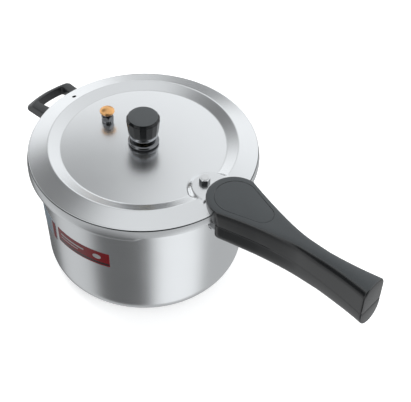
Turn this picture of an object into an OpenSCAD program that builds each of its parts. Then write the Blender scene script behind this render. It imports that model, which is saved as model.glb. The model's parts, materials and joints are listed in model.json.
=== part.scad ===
// Stovetop pressure cooker with an outer bayonet lid.
// Origin: centre of the pot's base, on the surface it stands on. +X runs along the long handle,
// +Z is up. The lid is closed and locked. All sizes are in millimetres.

/* [Pot] */
// Outside radius of the pot wall at the top of the bottom corner
pot_r = 96; // [92:0.5:96.5]
// Radius of the rounded bottom corner
pot_corner_r = 22; // [12:1:30]
// Outward lean of the wall in degrees
pot_taper = 2.1; // [0:0.1:2.2]
// Thickness of the layered steel wall
pot_t = 2.5; // [1.5:0.1:3.2]
// Width of each locking lug on the rim in degrees
rim_lug_arc = 84; // [70:1:87]

/* [Lid] */
// Radius of the lid at its outer edge
lid_r = 108; // [107.5:0.1:109]
// Height of the lid's outer edge above the base
edge_z = 134; // [128:1:140]
// Radius of the raised crest
crest_r = 88.2; // [86:0.2:90]
// Height of the crest above the edge
crest_h = 6.7; // [5:0.1:8]
// Radius of the valley inside the crest
valley_r = 77.4; // [74:0.2:80]
// Height of the valley above the edge
valley_h = 2.9; // [2:0.1:4]
// Height of the lid's middle above the edge
dome_h = 6; // [4:0.1:7]
// Thickness of the lid
lid_t = 2; // [1.6:0.1:2.2]
// Depth of the skirt between the lugs
skirt_h = 7.7; // [6:0.1:8]
// Depth of the skirt at the lugs
lug_h = 11.4; // [11:0.1:12]
// Width of each lid lug in degrees
lid_lug_arc = 85; // [70:1:89]

/* [Long handle] */
// Distance from the axis to the end of the handle
grip_end_x = 261.5; // [240:0.5:280]
// Distance from the axis to the middle of the rounded head
head_x = 112; // [111:0.5:114]
// Radius of the rounded head
head_r = 25.5; // [22:0.5:26]
// Distance from the axis to the narrowest place
waist_x = 190; // [180:1:200]
// Half width at the narrowest place
waist_w = 8; // [7.5:0.1:10]
// Half width at the end
end_w = 13.5; // [12:0.1:15]
// Height of the face where the two halves meet
seam_z = 126; // [126:0.1:126.4]
// Height of the underside of the lower half
grip_bottom_z = 106; // [104:0.5:107]
// Height of the top of the head
head_top_z = 148.5; // [147.5:0.1:150]
// Height of the top at the end
end_top_z = 155.5; // [150:0.5:158]

/* [Regulator] */
// Radius of the cap's top
cap_top_r = 15.5; // [14.5:0.1:17]
// Radius of the cap's lower end
cap_low_r = 14; // [13.8:0.1:14.4]
// Height of the cap's top above the base
cap_top_z = 171.5; // [170.5:0.5:175]

/* [Safety valve] */
// Distance from the axis to the valve, towards the helper handle
valve_x = -46; // [-56:1:-36]
// Offset of the valve to the side
valve_y = -2; // [-6:0.5:6]
// Radius of the copper-coloured cap
valve_cap_r = 7; // [6:0.1:8]

/* [Helper handle] */
// Distance from the axis to the outer edge of the loop
loop_x = 144.5; // [140:0.5:152]
// Half width of the loop
loop_w = 25; // [23:0.5:30]
// Height of the top of the loop
loop_top_z = 120; // [112:0.5:121]
// Thickness of the loop
loop_t = 10.5; // [9:0.5:13]
// How far the slanted outer side leans in at the top
loop_lean = 8; // [2:0.5:9]

/* [Hidden] */

$fn = 96;

// Heights and radii of the rim and its lock
rim_top_z = edge_z - 6.6;
rim_t = 2.9;
rim_r = pot_r + (edge_z - 10 - pot_corner_r) * tan(pot_taper) + 1.1;
rim_lug_r = 105.3;
skirt_t = 1.5;
skirt_in_r = lid_r - skirt_t;
lug_in_r = 101.6;
lug_t = 1.5;
lug_z = edge_z - lug_h;
flange_slope = crest_h / (lid_r - crest_r);
lid_top_z = edge_z + dome_h;

// Sealing ring
gasket_in_r = 94.2;
gasket_out_r = 103.4;
gasket_gap = 0.3;

// Raised tongue under the long handle
tongue_x = 84;
tongue_r = 20.5;
tongue_end_x = 104;
tongue_z = edge_z + crest_h + 0.2;
tongue_under_z = tongue_z - lid_t;

// Strap, stud and screws of the long handle
strap_t = 1.5;
strap_z = tongue_under_z - strap_t;
stud_x = 76.5;
stud_r = 3;
handle_screw_x = 96.5;
handle_screw_y = 9;
handle_screw_r = 2;

// Printed bands on the pot wall: the main one, and a second one beside it
label_t = 0.25;
label_top_z = 88.5;
label_low_z = 71;
label_from_a = -99;
label_to_a = -64;
side_low_z = 66;
side_from_a = -125;
side_to_a = -102;

// Small hole in the flange opposite the long handle
bleed_x = -95;
bleed_r = 2.1;

// Long handle
grip_gap = 0.3;
grip_clear_r = lid_r + 0.8;
lower_start_x = lid_r + 1.3;
seam_ratio = 0.87;
shoulder_z = 144.5;
head_fullness = 5;
end_fullness = 2.2;
panel_depth = 1;
panel_margin = 6;
panel_tail_x = 31;
panel_tail_r = 10.5;
round_steps = 14;

// Bracket of the long handle
arm_w = 14;
arm_t = 3;
arm_z = 112;
arm_end_x = 165;
foot_t = 2;
foot_below = 4;
foot_above = 7;
foot_half_a = 9;
body_screw_x = [125, 153];
body_screw_r = 2;
body_head_r = 3.9;
body_head_z = 118;

// Flame guard
guard_w = 18;
guard_h = 13;
guard_t = 1.2;
guard_start_x = pot_r + (110 - pot_corner_r) * tan(pot_taper) - 2;

// Regulator
nose_r = 3.2;
nose_top_z = 158;
vent_bore_r = 1.4;
vent_thread_r = 5;
collar_r = 15.8;
collar_h = 5;
weight_r = 12.8;
weight_low_z = 149.8;
weight_top_z = 168;
weight_fit = 0.1;
weight_bore_r = 4.9;
needle_head_h = 3;
ring_z = 153.6;
ring_r = 13.7;

// Safety valve
seat_r = 8;
seat_drop = 0.8;
seat_z = edge_z + dome_h - (dome_h - valley_h) * pow(valve_x / valley_r, 2) + 0.3;
washer_t = 1.25;
washer_z = seat_z - lid_t - seat_drop - washer_t - 0.05;
valve_shank_r = 4;
stem_r = 2.5;
stem_fit = 0.05;
spring_low_z = seat_z - 6.5;
spring_top_z = seat_z + 5;
spring_mean_r = 3.05;
spring_wire_r = 0.3;
spring_turns = 7;

// Helper handle
bar_w = 2.8;
loop_bulge = 3.6;
loop_side_h = 3;
gap_out_w = 16;
gap_in_w = 13;
cross_in_x = 103;
cross_out_x = 112;
helper_mid_z = loop_top_z - loop_t / 2;
helper_screw_y = 8;
loop_corner_r = 4;
gap_corner_r = 2;
helper_plate_w = 32;
helper_plate_h = 9;

// ---- shared outlines -------------------------------------------------------

function lerp(a, b, t) = a + (b - a) * t;
function clamp01(t) = min(max(t, 0), 1);
function wall_r(z) = pot_r + (z - pot_corner_r) * tan(pot_taper);

// Height of the domed middle of the lid at radius r
function dome_z(r) = edge_z + dome_h - (dome_h - valley_h) * pow(r / valley_r, 2);

// Outer side of the pot from the middle of the base to height top
function pot_outline(top) = concat(
    [[0, 0]],
    [for (a = [0:7.5:90]) [pot_r - pot_corner_r * (1 - sin(a)), pot_corner_r * (1 - cos(a))]],
    [[wall_r(top), top]]);

// Inner side of the pot, from height top down to the middle
function pot_inner(top) = concat(
    [[wall_r(top) - pot_t, top]],
    [for (a = [90:-7.5:0])
        [pot_r - pot_corner_r + (pot_corner_r - pot_t) * sin(a),
         pot_corner_r - (pot_corner_r - pot_t) * cos(a)]],
    [[0, pot_t]]);

// Outside of the pot as a solid, to fit brackets and guards against it
module pot_block(extra = 0) {
    rotate_extrude()
        polygon(concat([for (p = pot_outline(edge_z)) [p[0] + (p[0] > 0 ? extra : 0), p[1]]],
                       [[0, edge_z]]));
}

// Band on the pot wall between two heights, over an arc of the wall
module wall_band(low_z, high_z, t, from_a, to_a) {
    rotate([0, 0, from_a])
        rotate_extrude(angle = to_a - from_a)
            polygon([[wall_r(low_z), low_z], [wall_r(low_z) + t, low_z],
                     [wall_r(high_z) + t, high_z], [wall_r(high_z), high_z]]);
}

// Hexagonal prism from its width across flats
module hexagon(across, h) {
    cylinder(r = across / sqrt(3), h = h, $fn = 6);
}

// ---- long handle shape -----------------------------------------------------

// Half width at the shoulder
function grip_w(x) =
    x < head_x ? sqrt(max(head_r * head_r - pow(head_x - x, 2), 4))
    : x < waist_x ? waist_w + (head_r - waist_w) * pow((waist_x - x) / (waist_x - head_x), 1.5)
    : waist_w + (end_w - waist_w) * pow((x - waist_x) / (grip_end_x - waist_x), 2.5);

// Half width at the seam, which is narrower than the shoulder near the head
function grip_seam_w(x) = grip_w(x) * lerp(seam_ratio, 1, clamp01((x - 150) / 80));

// Height of the top and of the shoulder where it starts to round over
function grip_top(x) = head_top_z
    + (end_top_z - head_top_z) * pow(clamp01((x - 150) / (grip_end_x - 150)), 2);
function grip_shoulder(x) = shoulder_z - 3.5 * pow(sin(180 * clamp01((x - 140) / 121.5)), 2);

// How square the section is
function grip_fullness(x) = lerp(head_fullness, end_fullness, clamp01((x - 135) / 75));

// Point of a superellipse with half axes a and b at angle t
function superellipse(a, b, n, t) = [
    a * sign(cos(t)) * pow(abs(cos(t)), 2 / n),
    b * pow(abs(sin(t)), 2 / n)];

// Sections of the upper and lower halves at x, as [x, y, z] points
function upper_section(x) = concat(
    [[x, grip_seam_w(x), seam_z + grip_gap]],
    [for (i = [0:round_steps])
        let (p = superellipse(grip_w(x), grip_top(x) - grip_shoulder(x), grip_fullness(x),
                              180 * i / round_steps))
        [x, p[0], grip_shoulder(x) + p[1]]],
    [[x, -grip_seam_w(x), seam_z + grip_gap]]);

function lower_section(x) =
    [for (i = [0:round_steps + 2])
        let (p = superellipse(grip_seam_w(x), seam_z - grip_bottom_z, grip_fullness(x),
                              180 * i / (round_steps + 2)))
        [x, -p[0], seam_z - p[1]]];

// Solid through a row of sections, each with the same number of points
module loft(sections) {
    n = len(sections[0]);
    last = len(sections) - 1;
    polyhedron(
        points = [for (s = sections) each s],
        faces = concat(
            [[for (i = [0:n - 1]) i]],
            [[for (i = [n - 1:-1:0]) last * n + i]],
            [for (k = [0:last - 1], i = [0:n - 1])
                [k * n + i, (k + 1) * n + i, (k + 1) * n + (i + 1) % n, k * n + (i + 1) % n]]));
}

// Stations along the handle: closer together around the head
head_stations = [for (a = [8:9:89]) head_x - head_r * cos(a)];
rear_stations = [for (i = [0:20]) lerp(head_x, grip_end_x, i / 20)];
upper_stations = concat(head_stations, rear_stations);
lower_stations = concat([lower_start_x], rear_stations);

// Outline of the inset panel on the head
module panel_outline(shrink = 0) {
    hull() {
        translate([head_x + 1.5, 0])
            circle(r = head_r - panel_margin - shrink);
        translate([head_x + panel_tail_x, 0])
            circle(r = panel_tail_r - shrink);
    }
}

// Outline of the raised tongue, inset by a margin
module tongue_outline(inset = 0) {
    r = tongue_r - inset;
    polygon(concat(
        [for (a = [90:7.5:270]) [tongue_x + r * cos(a), r * sin(a)]],
        [[tongue_end_x - inset, -r], [tongue_end_x - inset, r]]));
}

// ---- pot -------------------------------------------------------------------

module pot_shell() {
    color([0.78, 0.79, 0.8]) {
        rotate_extrude()
            polygon(concat(pot_outline(rim_top_z - rim_t), [[rim_r, rim_top_z - rim_t],
                           [rim_r, rim_top_z]], pot_inner(rim_top_z)));
        for (a = [90, -90])
            rotate([0, 0, a - rim_lug_arc / 2])
                rotate_extrude(angle = rim_lug_arc)
                    translate([rim_r - 1, rim_top_z - rim_t])
                        square([rim_lug_r - rim_r + 1, rim_t]);
    }
}

module main_label() {
    color([0.6, 0.1, 0.12])
        wall_band(label_low_z, label_top_z, label_t, label_from_a, label_to_a);
}

module side_label() {
    color([0.62, 0.68, 0.74])
        wall_band(side_low_z, label_top_z, label_t, side_from_a, side_to_a);
}

module body_handle_bracket() {
    color([0.7, 0.71, 0.72])
        difference() {
            union() {
                wall_band(arm_z - foot_below, arm_z + foot_above, foot_t, -foot_half_a, foot_half_a);
                translate([wall_r(arm_z) - 1, -arm_w / 2, arm_z])
                    cube([arm_end_x - wall_r(arm_z) + 1, arm_w, arm_t]);
            }
            pot_block();
            for (x = body_screw_x)
                translate([x, 0, arm_z - 1])
                    cylinder(r = body_screw_r + 0.1, h = arm_t + 2);
        }
}

// Section of the flame guard, open where the bracket passes
module guard_section(inset) {
    polygon([for (i = [0:24])
        let (p = superellipse(guard_w - inset, guard_h - inset, 4, 180 * i / 24)) [p[0], -p[1]]]);
}

module flame_guard() {
    color([0.7, 0.71, 0.72])
        difference() {
            translate([guard_start_x, 0, edge_z - guard_h])
                rotate([90, 0, 90])
                    linear_extrude(lower_start_x - 0.1 - guard_start_x)
                        difference() {
                            guard_section(0);
                            translate([0, -guard_t])
                                guard_section(guard_t);
                        }
            pot_block(0.05);
            translate([guard_start_x - 5, -arm_w / 2 - 0.2, arm_z - 0.2])
                cube([30, arm_w + 0.4, arm_t + 0.4]);
            wall_band(arm_z - foot_below - 1, arm_z + foot_above + 1, foot_t + 0.2,
                      -foot_half_a - 0.5, foot_half_a + 0.5);
        }
}

module body_handle() {
    color([0.2, 0.21, 0.22])
        difference() {
            loft([for (x = lower_stations) lower_section(x)]);
            translate([lower_start_x - 1, -arm_w / 2 - 0.2, arm_z - 0.2])
                cube([arm_end_x - lower_start_x + 1.4, arm_w + 0.4, arm_t + 0.4]);
            for (x = body_screw_x) {
                translate([x, 0, body_head_z])
                    cylinder(r = body_head_r + 0.3, h = 20);
                translate([x, 0, grip_bottom_z + 2])
                    cylinder(r = body_screw_r + 0.05, h = 20);
            }
        }
}

module body_handle_screws() {
    color([0.6, 0.6, 0.62])
        for (x = body_screw_x)
            translate([x, 0, 0])
                difference() {
                    union() {
                        translate([0, 0, grip_bottom_z + 2.5])
                            cylinder(r = body_screw_r, h = body_head_z - grip_bottom_z - 2.4);
                        translate([0, 0, body_head_z + 0.05])
                            cylinder(r = body_head_r, h = 2.6);
                    }
                    translate([-2.4, -0.4, body_head_z + 1.6])
                        cube([4.8, 0.8, 2]);
                    translate([-0.4, -2.4, body_head_z + 1.6])
                        cube([0.8, 4.8, 2]);
                }
}

// ---- helper handle ---------------------------------------------------------

module helper_bracket() {
    color([0.7, 0.71, 0.72])
        difference() {
            translate([-cross_in_x + 0.05, -helper_plate_w / 2, helper_mid_z - helper_plate_h / 2])
                cube([cross_in_x - wall_r(helper_mid_z) + 12, helper_plate_w, helper_plate_h]);
            pot_block();
            for (y = [-helper_screw_y, helper_screw_y])
                translate([-cross_in_x - 1, y, helper_mid_z])
                    rotate([0, 90, 0])
                        cylinder(r = 2.05, h = 4.2);
        }
}

// Bulging outer line of the loop, at a distance back from the outer edge
function bulge_x(y, back) = -(loop_x - back) + loop_bulge * pow(y / loop_w, 2);

// Half outline from the root to the middle of the bulge, with its corner cut round
function loop_side(w, root_x, root_w, corner, back) = concat(
    [[root_x, root_w], [bulge_x(w, back) + corner, w],
     [bulge_x(w, back) + 0.3 * corner, w - 0.3 * corner]],
    [for (i = [0:6]) let (y = (w - corner) * (1 - i / 6)) [bulge_x(y, back), y]]);

// Whole outline, the half above mirrored below
module loop_outline(w, root_x, root_w, corner, back) {
    half = loop_side(w, root_x, root_w, corner, back);
    polygon(concat(half, [for (i = [len(half) - 2:-1:0]) [half[i][0], -half[i][1]]]));
}

module helper_handle() {
    color([0.2, 0.21, 0.22])
        difference() {
            translate([0, 0, loop_top_z - loop_t])
                hull() {
                    linear_extrude(loop_side_h)
                        loop_outline(loop_w, -cross_in_x, loop_w - 1, loop_corner_r, 0);
                    translate([0, 0, loop_t - 0.5])
                        linear_extrude(0.5)
                            loop_outline(loop_w, -cross_in_x, loop_w - 1, loop_corner_r, loop_lean);
                }
            translate([0, 0, loop_top_z - loop_t - 1])
                linear_extrude(loop_t + 2)
                    loop_outline(gap_out_w, -cross_out_x, gap_in_w, gap_corner_r, loop_lean + bar_w);
            for (y = [-helper_screw_y, helper_screw_y])
                translate([-cross_out_x - 1, y, helper_mid_z])
                    rotate([0, 90, 0]) {
                        cylinder(r = 3.8, h = 3.2);
                        cylinder(r = 2.1, h = 20);
                    }
        }
}

module helper_handle_screws() {
    color([0.6, 0.6, 0.62])
        for (y = [-helper_screw_y, helper_screw_y])
            translate([-cross_out_x + 0.2, y, helper_mid_z])
                rotate([0, 90, 0])
                    difference() {
                        union() {
                            cylinder(r = 3.5, h = 1.95);
                            cylinder(r = 2, h = cross_out_x - cross_in_x + 2.6);
                        }
                        translate([-2.2, -0.4, -1])
                            cube([4.4, 0.8, 1.9]);
                        translate([-0.4, -2.2, -1])
                            cube([0.8, 4.4, 1.9]);
                    }
}

// ---- sealing ring ----------------------------------------------------------

module gasket() {
    low = rim_top_z + gasket_gap;
    color([0.13, 0.13, 0.14])
        rotate_extrude()
            polygon([[gasket_in_r, low], [gasket_out_r, low],
                     [gasket_out_r, low + 5], [gasket_out_r - 5.5, low + 6.3],
                     [gasket_in_r, low + 6.3], [gasket_in_r, low + 4.6],
                     [gasket_out_r - 3.2, low + 3.4], [gasket_out_r - 3.2, low + 2.2],
                     [gasket_in_r, low + 1.6]]);
}

// ---- lid -------------------------------------------------------------------

// Upper side of the lid sheet, lowered by drop
function lid_line(drop) = concat(
    [for (i = [0:8]) [valley_r * i / 8, dome_z(valley_r * i / 8) - drop]],
    [[crest_r, edge_z + crest_h - drop]]);

// Sheet with its skirt turned in at the bottom all round
module lid_sheet() {
    under = lid_line(lid_t);
    rotate_extrude()
        polygon(concat(
            lid_line(0),
            [[lid_r - 0.6, edge_z + 0.2], [lid_r, edge_z - 0.5], [lid_r, lug_z + 0.5],
             [lid_r - 0.5, lug_z], [lug_in_r, lug_z], [lug_in_r, lug_z + lug_t],
             [skirt_in_r, lug_z + lug_t],
             [skirt_in_r, edge_z - lid_t + (lid_r - skirt_in_r) * flange_slope]],
            [for (i = [len(under) - 1:-1:0]) under[i]]));
}

// What is cut from the skirt between the two lugs
module skirt_gaps() {
    gap_arc = 180 - lid_lug_arc;
    for (a = [0, 180])
        rotate([0, 0, a - gap_arc / 2])
            rotate_extrude(angle = gap_arc)
                translate([lug_in_r - 2, lug_z - 1])
                    square([lid_r - lug_in_r + 4, lug_h - skirt_h + 1]);
}

// Raised tongue, from the middle of the sheet up
module tongue_block() {
    difference() {
        linear_extrude(tongue_z)
            tongue_outline();
        rotate_extrude()
            polygon(concat([[0, 0]], lid_line(lid_t / 2),
                           [[lid_r, edge_z - lid_t / 2], [lid_r, 0]]));
    }
}

module lid_shell() {
    color([0.82, 0.83, 0.84])
        difference() {
            union() {
                lid_sheet();
                tongue_block();
                translate([valve_x, valve_y, seat_z - lid_t - seat_drop])
                    cylinder(r = seat_r, h = lid_t + seat_drop);
            }
            skirt_gaps();
            translate([0, 0, edge_z - 4])
                linear_extrude(tongue_under_z - edge_z + 4)
                    tongue_outline(lid_t);
            translate([0, 0, edge_z])
                cylinder(r = vent_thread_r + 0.1, h = 20);
            translate([valve_x, valve_y, edge_z])
                cylinder(r = valve_shank_r + 0.1, h = 20);
            translate([stud_x, 0, edge_z])
                cylinder(r = stud_r + 0.1, h = 20);
            for (y = [-handle_screw_y, handle_screw_y])
                translate([handle_screw_x, y, edge_z])
                    cylinder(r = handle_screw_r + 0.1, h = 20);
            translate([bleed_x, 0, edge_z - 3])
                cylinder(r = bleed_r, h = 20);
        }
}

module lid_handle_strap() {
    color([0.7, 0.71, 0.72])
        difference() {
            translate([0, 0, strap_z])
                linear_extrude(strap_t)
                    hull() {
                        translate([stud_x, 0])
                            circle(r = 8);
                        translate([90, -13])
                            square([tongue_end_x - lid_t - 90.3, 26]);
                    }
            translate([stud_x, 0, strap_z - 1])
                cylinder(r = stud_r + 0.1, h = 5);
            for (y = [-handle_screw_y, handle_screw_y])
                translate([handle_screw_x, y, strap_z - 1])
                    cylinder(r = handle_screw_r + 0.1, h = 5);
        }
}

module lid_handle_stud() {
    color([0.75, 0.76, 0.78])
        translate([stud_x, 0, strap_z - 3]) {
            cylinder(r = 6, h = 3);
            cylinder(r = stud_r, h = 3 + tongue_z - strap_z + 5.4);
        }
}

module lid_handle_nut() {
    color([0.75, 0.76, 0.78])
        translate([stud_x, 0, tongue_z])
            difference() {
                rotate([0, 0, 15])
                    hexagon(10, 5);
                translate([0, 0, -1])
                    cylinder(r = stud_r + 0.02, h = 8);
            }
}

module lid_handle() {
    color([0.2, 0.21, 0.22])
        difference() {
            loft([for (x = upper_stations) upper_section(x)]);
            rotate_extrude()
                polygon([[0, 0], [grip_clear_r, 0], [grip_clear_r, edge_z + 0.2],
                         [crest_r, tongue_z + 0.1], [0, tongue_z + 0.1]]);
            linear_extrude(tongue_z + 0.1)
                tongue_outline(-0.2);
            translate([0, 0, head_top_z - panel_depth])
                linear_extrude(10)
                    panel_outline();
            for (y = [-handle_screw_y, handle_screw_y])
                translate([handle_screw_x, y, tongue_z - 1])
                    cylinder(r = handle_screw_r + 0.05, h = 6);
        }
}

module lid_handle_panel() {
    color([0.25, 0.26, 0.27])
        translate([0, 0, head_top_z - panel_depth])
            linear_extrude(panel_depth - 0.1)
                panel_outline(0.25);
}

module lid_handle_screws() {
    color([0.6, 0.6, 0.62])
        for (y = [-handle_screw_y, handle_screw_y])
            translate([handle_screw_x, y, strap_z - 1.8]) {
                cylinder(r = 3.6, h = 1.8);
                cylinder(r = handle_screw_r, h = 1.8 + tongue_z - strap_z + 4.6);
            }
}

// ---- steam vent ------------------------------------------------------------

module vent_tube() {
    color([0.78, 0.7, 0.45])
        difference() {
            union() {
                translate([0, 0, lid_top_z - 13])
                    cylinder(r = vent_thread_r, h = 13 + collar_h + 2);
                translate([0, 0, lid_top_z])
                    cylinder(r = nose_r, h = nose_top_z - lid_top_z - 1);
                translate([0, 0, nose_top_z - 1])
                    cylinder(r1 = nose_r, r2 = nose_r - 0.8, h = 1);
            }
            translate([0, 0, lid_top_z - 14])
                cylinder(r = vent_bore_r, h = 40);
        }
}

module vent_collar() {
    color([0.8, 0.81, 0.82])
        difference() {
            rotate_extrude()
                polygon([[0, lid_top_z], [collar_r - 1, lid_top_z],
                         [collar_r, lid_top_z + 1], [collar_r, lid_top_z + 3.4],
                         [collar_r - 1.6, lid_top_z + collar_h], [0, lid_top_z + collar_h]]);
            translate([0, 0, lid_top_z - 1])
                cylinder(r = vent_thread_r + 0.05, h = 20);
        }
}

module vent_washer() {
    color([0.13, 0.13, 0.14])
        translate([0, 0, lid_top_z - lid_t - 1.3])
            difference() {
                cylinder(r = 9.5, h = 1.25);
                translate([0, 0, -1])
                    cylinder(r = vent_thread_r + 0.05, h = 4);
            }
}

module vent_nut() {
    color([0.78, 0.7, 0.45])
        translate([0, 0, lid_top_z - lid_t - 6.8])
            difference() {
                hexagon(16, 5.5);
                translate([0, 0, -1])
                    cylinder(r = vent_thread_r + 0.02, h = 8);
            }
}

// ---- safety valve ----------------------------------------------------------

module safety_valve_body() {
    color([0.75, 0.76, 0.78])
        translate([valve_x, valve_y, seat_z])
            difference() {
                union() {
                    translate([0, 0, -10])
                        cylinder(r = valve_shank_r, h = 12);
                    cylinder(r = 5.6, h = 2);
                    translate([0, 0, 2])
                        hexagon(10.4, 5.4);
                    translate([0, 0, 7.4])
                        cylinder(r = 5.3, h = 3);
                }
                translate([0, 0, -11])
                    cylinder(r = stem_r + stem_fit, h = 30);
                translate([0, 0, -11])
                    cylinder(r = 3.6, h = 11 + spring_top_z - seat_z);
            }
}

module safety_valve_washer() {
    color([0.13, 0.13, 0.14])
        translate([valve_x, valve_y, washer_z])
            difference() {
                cylinder(r = 7, h = washer_t);
                translate([0, 0, -1])
                    cylinder(r = valve_shank_r + 0.05, h = 4);
            }
}

module safety_valve_nut() {
    color([0.75, 0.76, 0.78])
        translate([valve_x, valve_y, washer_z - 4.5])
            difference() {
                hexagon(12, 4.5);
                translate([0, 0, -1])
                    cylinder(r = valve_shank_r + 0.02, h = 8);
            }
}

module safety_valve_stem() {
    color([0.78, 0.7, 0.45])
        translate([valve_x, valve_y, 0]) {
            translate([0, 0, spring_low_z - 1.5])
                cylinder(r = 3.3, h = 1.45);
            translate([0, 0, spring_low_z - 1.5])
                cylinder(r = stem_r, h = seat_z + 12.5 - spring_low_z + 1.5);
        }
}

module safety_valve_cap() {
    color([0.75, 0.5, 0.33])
        translate([valve_x, valve_y, seat_z + 10.6])
            difference() {
                rotate_extrude()
                    polygon(concat(
                        [[0, 0], [valve_cap_r - 0.6, 0], [valve_cap_r, 0.5], [valve_cap_r, 2]],
                        [for (a = [10:10:90])
                            [valve_cap_r - 1.6 + 1.6 * cos(a), 2 + 1.6 * sin(a)]],
                        [[valve_cap_r * 0.5, 4.1], [0, 4.4]]));
                translate([0, 0, -1])
                    cylinder(r = stem_r + 0.02, h = 3);
            }
}

// Wire of the spring, swept along a helix
module safety_valve_spring() {
    sides = 6;
    steps = 12;
    count = spring_turns * steps;
    rise = spring_top_z - spring_low_z - 2 * spring_wire_r - 0.2;
    color([0.6, 0.6, 0.62])
        translate([valve_x, valve_y, spring_low_z + spring_wire_r + 0.1])
            loft([for (k = [0:count])
                [for (j = [0:sides - 1])
                    let (a = 360 * k / steps, b = 360 * j / sides,
                         r = spring_mean_r + spring_wire_r * cos(b))
                    [r * cos(a), r * sin(a), rise * k / count - spring_wire_r * sin(b)]]]);
}

// ---- regulator -------------------------------------------------------------

module regulator_needle() {
    color([0.78, 0.7, 0.45])
        union() {
            translate([0, 0, nose_top_z - 9])
                cylinder(r = vent_bore_r - 0.08, h = 9.5);
            translate([0, 0, nose_top_z + 0.1])
                cylinder(r = weight_bore_r - 0.5, h = needle_head_h);
        }
}

module regulator_weight() {
    color([0.75, 0.76, 0.78])
        difference() {
            translate([0, 0, weight_low_z])
                cylinder(r = weight_r, h = weight_top_z - weight_low_z);
            translate([0, 0, weight_low_z - 1])
                cylinder(r = weight_bore_r, h = nose_top_z + needle_head_h + 0.4 - weight_low_z + 1);
        }
}

module regulator_ring() {
    color([0.85, 0.86, 0.88])
        rotate_extrude()
            polygon([[weight_r + weight_fit, weight_low_z], [ring_r - 0.5, weight_low_z],
                     [ring_r, weight_low_z + 0.6], [ring_r, ring_z - 0.7],
                     [ring_r - 0.4, ring_z - 0.1], [weight_r + weight_fit, ring_z - 0.1]]);
}

module regulator_clip() {
    color([0.6, 0.6, 0.62])
        translate([0, 0, weight_low_z + 1.5])
            difference() {
                cylinder(r = weight_bore_r - 0.05, h = 1);
                translate([0, 0, -1])
                    cylinder(r = nose_r + 0.3, h = 3);
                translate([0, -1.5, -1])
                    cube([8, 3, 3]);
            }
}

module regulator_cap() {
    color([0.2, 0.21, 0.22])
        difference() {
            rotate_extrude()
                polygon([[0, ring_z], [cap_low_r, ring_z],
                         [cap_top_r - 0.3, cap_top_z - 4.4], [cap_top_r, cap_top_z - 3.4],
                         [cap_top_r, cap_top_z - 1.6], [cap_top_r - 1.6, cap_top_z - 0.2],
                         [0, cap_top_z]]);
            translate([0, 0, ring_z - 1])
                cylinder(r = weight_r + weight_fit, h = weight_top_z + weight_fit - ring_z + 1);
        }
}

// ---- nodes -----------------------------------------------------------------

pot_shell();
main_label();
side_label();
body_handle_bracket();
flame_guard();
body_handle();
body_handle_screws();
helper_bracket();
helper_handle();
helper_handle_screws();
gasket();
lid_shell();
lid_handle_strap();
lid_handle_stud();
lid_handle_nut();
lid_handle();
lid_handle_panel();
lid_handle_screws();
vent_tube();
vent_collar();
vent_washer();
vent_nut();
safety_valve_body();
safety_valve_washer();
safety_valve_nut();
safety_valve_stem();
safety_valve_cap();
safety_valve_spring();
regulator_needle();
regulator_weight();
regulator_ring();
regulator_clip();
regulator_cap();
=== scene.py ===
"""Looks of a stovetop pressure cooker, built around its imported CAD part.

Lengths here are millimetres, and make_object() turns them into metres. The frame is the part's own:
+Z is up, the long handle points along +X, and the origin is the middle of the pot's base.
"""

import json
import math

import bmesh
import bpy
from mathutils import Matrix, Vector


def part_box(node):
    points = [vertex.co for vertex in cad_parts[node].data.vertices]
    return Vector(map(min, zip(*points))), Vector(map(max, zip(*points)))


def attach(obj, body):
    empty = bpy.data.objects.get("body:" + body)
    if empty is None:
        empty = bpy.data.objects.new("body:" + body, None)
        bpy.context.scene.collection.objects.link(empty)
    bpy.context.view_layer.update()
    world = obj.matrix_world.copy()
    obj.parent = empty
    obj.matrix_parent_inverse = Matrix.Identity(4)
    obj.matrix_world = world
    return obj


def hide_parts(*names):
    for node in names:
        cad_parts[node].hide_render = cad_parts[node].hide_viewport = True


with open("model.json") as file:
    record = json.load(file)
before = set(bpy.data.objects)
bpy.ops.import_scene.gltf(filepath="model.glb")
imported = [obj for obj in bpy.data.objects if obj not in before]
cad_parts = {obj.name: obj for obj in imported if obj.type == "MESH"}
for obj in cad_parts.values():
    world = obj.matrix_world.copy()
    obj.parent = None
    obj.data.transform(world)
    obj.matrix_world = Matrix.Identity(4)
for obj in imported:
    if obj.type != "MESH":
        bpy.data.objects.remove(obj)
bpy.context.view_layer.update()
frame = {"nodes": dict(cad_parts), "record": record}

MM = 0.001


def box_mm(node):
    """Lowest and highest corner of a CAD node, in millimetres."""
    low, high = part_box(node)
    return low / MM, high / MM


# ---- sizes ------------------------------------------------------------------

pot_high = box_mm("pot_shell")[1]
lid_low, lid_high = box_mm("lid_shell")
grip_low, grip_high = box_mm("lid_handle")
base_grip_low, base_grip_high = box_mm("body_handle")
panel_top = box_mm("lid_handle_panel")[1].z
nut_low, nut_high = box_mm("lid_handle_nut")
loop_low, loop_high = box_mm("helper_handle")
gasket_low, gasket_high = box_mm("gasket")
collar_low, collar_high = box_mm("vent_collar")
ring_low, ring_high = box_mm("regulator_ring")
cap_low, cap_high = box_mm("regulator_cap")
weight_high = box_mm("regulator_weight")[1]
valve_low, valve_high = box_mm("safety_valve_body")
button_low, button_high = box_mm("safety_valve_cap")
band_low, band_high = box_mm("main_label")
side_low, side_high = box_mm("side_label")

# Pot
POT_CORNER_R = 22
POT_WALL_T = 2.5
POT_TAPER = math.tan(math.radians(2.1))
POT_R = 96
RIM_T = 2.9
RIM_LUG_ARC = 84
BASE_RING_R = 59
BASE_RAISE = 0.4

# Printed bands, each over a stretch of angles in degrees
BAND_T = 0.25
BAND_CELL_ARC = 0.25
BAND_CELL_H = 0.4
MAIN_BAND_ARC = -99, -64
SIDE_BAND_ARC = -125, -102

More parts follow.
